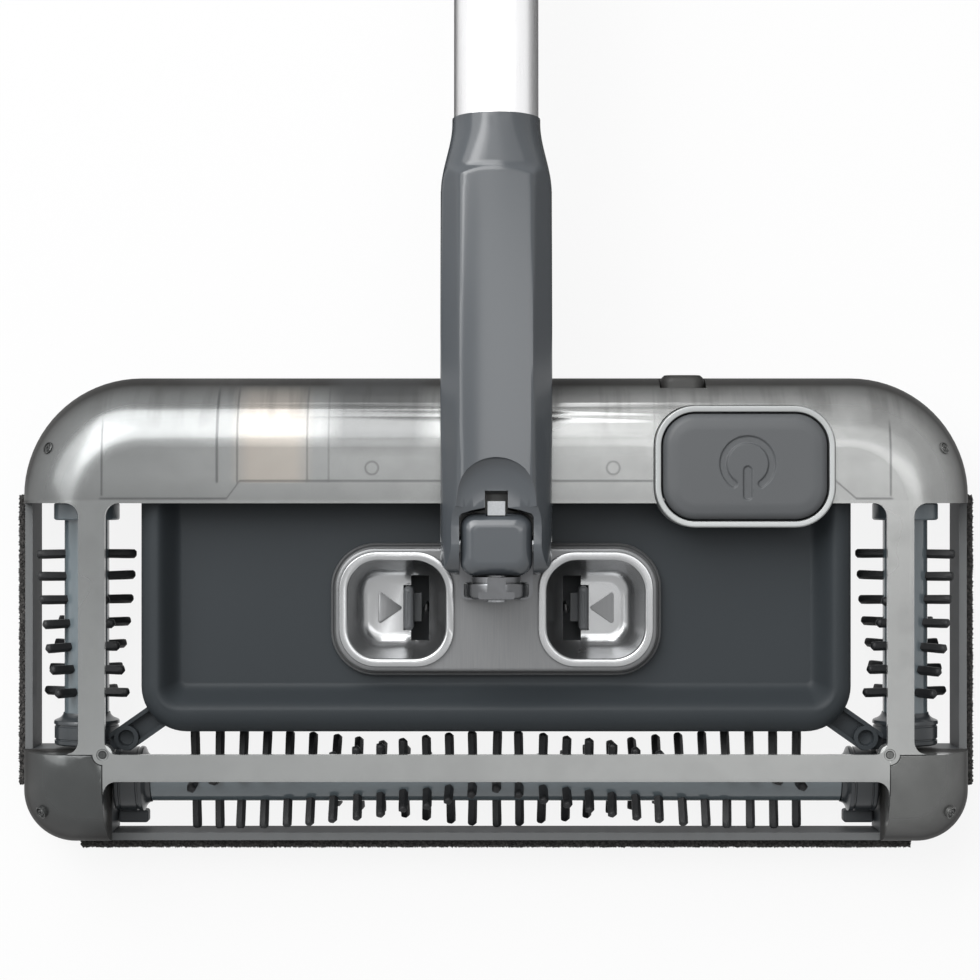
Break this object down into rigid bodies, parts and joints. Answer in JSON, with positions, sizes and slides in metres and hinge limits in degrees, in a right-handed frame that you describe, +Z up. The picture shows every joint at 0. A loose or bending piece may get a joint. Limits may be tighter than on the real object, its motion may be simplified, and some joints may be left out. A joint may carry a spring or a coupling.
{
  "type": "carpet sweeper",
  "caption": "Cordless floor sweeper: flat see-through head with driven brushes along three edges, foot power pedal, drop-out dust tray and a long handle on a two-way joint.",
  "frame": {"origin": "on the underside of the dust tray, under the middle of the head, 3.4 mm above the floor's zero height", "axes": "+X across the head to the right seen from above with the handle away, +Y to the rear along the handle lying down, +Z up from the floor"},
  "size_m": [0.3346, 1.1658, 0.0746],
  "materials": {
    "smoke": "clear, lightly smoked moulding",
    "charcoal": "fine satin moulding",
    "brushed_plate": "satin metallic paint",
    "satin_silver": "satin silver",
    "pan_grey": "moulded",
    "pedal_grey": "semi-gloss moulding",
    "slate": "semi-gloss moulding",
    "steel": "drawn",
    "battery_wrap": "shrink wrap",
    "board": "solder mask",
    "brush": "glossy core with dark nylon bristles",
    "collar": "glossy moulding",
    "wheel_rubber": "matte",
    "bumper": "short pile",
    "tube_silver": "satin anodised",
    "grip_foam": "soft, matte"
  },
  "bodies": {
    "head": {"top_shell": "smoke", "corner_cover_right": "smoke", "corner_cover_left": "smoke", "centre_panel": "charcoal", "well_plate": "brushed_plate", "finger_well_right": "satin_silver", "finger_well_left": "satin_silver", "rear_base": "pan_grey", "corner_base_right": "charcoal", "corner_base_left": "charcoal", "motor": "steel", "battery_pack": "battery_wrap", "circuit_board": "board", "power_switch": "charcoal", "charging_socket": "charcoal", "pedal_bezel": "satin_silver", "rear_axle_right": "steel", "rear_axle_left": "steel", "bumper_strip_right": "bumper", "bumper_strip_left": "bumper", "bumper_strip_front": "bumper", "joint_base": "charcoal", "swivel_ring": "satin_silver", "roll_pin": "steel"},
    "yoke": {"knuckle": "slate", "knuckle_tongue": "satin_silver", "pitch_pin": "steel"},
    "handle": {"neck": "slate", "lower_tube": "tube_silver", "middle_tube": "tube_silver", "upper_tube": "tube_silver", "grip": "grip_foam", "end_cap": "charcoal"},
    "pedal": {"power_pedal": "pedal_grey", "pedal_spring": "steel"},
    "latch_right": {"release_latch_right": "charcoal", "latch_spring_right": "steel"},
    "latch_left": {"release_latch_left": "charcoal", "latch_spring_left": "steel"},
    "tray": {"dust_tray": "charcoal"},
    "front_roller": {"front_brush": "brush", "front_collar_right": "collar", "front_collar_left": "collar", "gear_front_left": "steel", "gear_front_right": "steel"},
    "left_roller": {"left_brush": "brush", "rear_collar_left": "collar", "mid_collar_left": "collar", "gear_left_rear": "steel", "gear_left_front": "steel"},
    "right_roller": {"right_brush": "brush", "rear_collar_right": "collar", "mid_collar_right": "collar", "gear_right_front": "steel"},
    "motor_rotor": {"motor_shaft": "steel"},
    "rear_wheel_right": {"rear_wheel_right": "wheel_rubber"},
    "rear_wheel_left": {"rear_wheel_left": "wheel_rubber"},
    "front_wheel_right": {"front_wheel_right": "wheel_rubber"},
    "front_wheel_left": {"front_wheel_left": "wheel_rubber"}
  },
  "joints": [
    {"name": "roll", "type": "hinge", "parent": "head", "child": "yoke", "pos_m": [0, 0.0224, 0.06], "axis": [0, 1, 0], "range_deg": [-60, 60]},
    {"name": "pitch", "type": "hinge", "parent": "yoke", "child": "handle", "pos_m": [0, 0.0224, 0.06], "axis": [1, 0, 0], "range_deg": [0, 90]},
    {"name": "pedal_press", "type": "slide", "parent": "head", "child": "pedal", "axis": [0, 0, -1], "range_m": [0, 0.004], "stiffness_N_per_m": 1500, "springref_m": -0.002, "deforming": ["pedal_spring"]},
    {"name": "release_right", "type": "slide", "parent": "head", "child": "latch_right", "axis": [-1, 0, 0], "range_m": [0, 0.005], "stiffness_N_per_m": 600, "springref_m": -0.002, "deforming": ["latch_spring_right"]},
    {"name": "release_left", "type": "slide", "parent": "head", "child": "latch_left", "axis": [1, 0, 0], "range_m": [0, 0.005], "stiffness_N_per_m": 600, "springref_m": -0.002, "deforming": ["latch_spring_left"]},
    {"name": "tray_drop", "type": "slide", "parent": "head", "child": "tray", "axis": [0, 0, -1], "range_m": [0, 0.03]},
    {"name": "front_spin", "type": "hinge", "parent": "head", "child": "front_roller", "pos_m": [0, -0.0608, 0.0178], "axis": [1, 0, 0], "continuous": true},
    {"name": "left_spin", "type": "hinge", "parent": "head", "child": "left_roller", "pos_m": [-0.1437, 0, 0.0178], "axis": [0, 1, 0], "continuous": true},
    {"name": "right_spin", "type": "hinge", "parent": "head", "child": "right_roller", "pos_m": [0.1437, 0, 0.0178], "axis": [0, 1, 0], "continuous": true},
    {"name": "motor_spin", "type": "hinge", "parent": "head", "child": "motor_rotor", "pos_m": [-0.11, 0.0556, 0.0178], "axis": [1, 0, 0], "continuous": true},
    {"name": "rear_roll_right", "type": "hinge", "parent": "head", "child": "rear_wheel_right", "pos_m": [0.12, 0.0682, 0.008], "axis": [1, 0, 0], "continuous": true},
    {"name": "front_roll_right", "type": "hinge", "parent": "head", "child": "front_wheel_right", "pos_m": [0.1196, -0.0376, 0.006], "axis": [1, 0, 0], "continuous": true},
    {"name": "rear_roll_left", "type": "hinge", "parent": "head", "child": "rear_wheel_left", "pos_m": [-0.12, 0.0682, 0.008], "axis": [1, 0, 0], "continuous": true},
    {"name": "front_roll_left", "type": "hinge", "parent": "head", "child": "front_wheel_left", "pos_m": [-0.1196, -0.0376, 0.006], "axis": [1, 0, 0], "continuous": true}
  ],
  "couplings": [
    {"joint": "left_spin", "follows": "front_spin", "ratio": -1},
    {"joint": "right_spin", "follows": "front_spin", "ratio": 1},
    {"joint": "motor_spin", "follows": "front_spin", "ratio": -1}
  ]
}
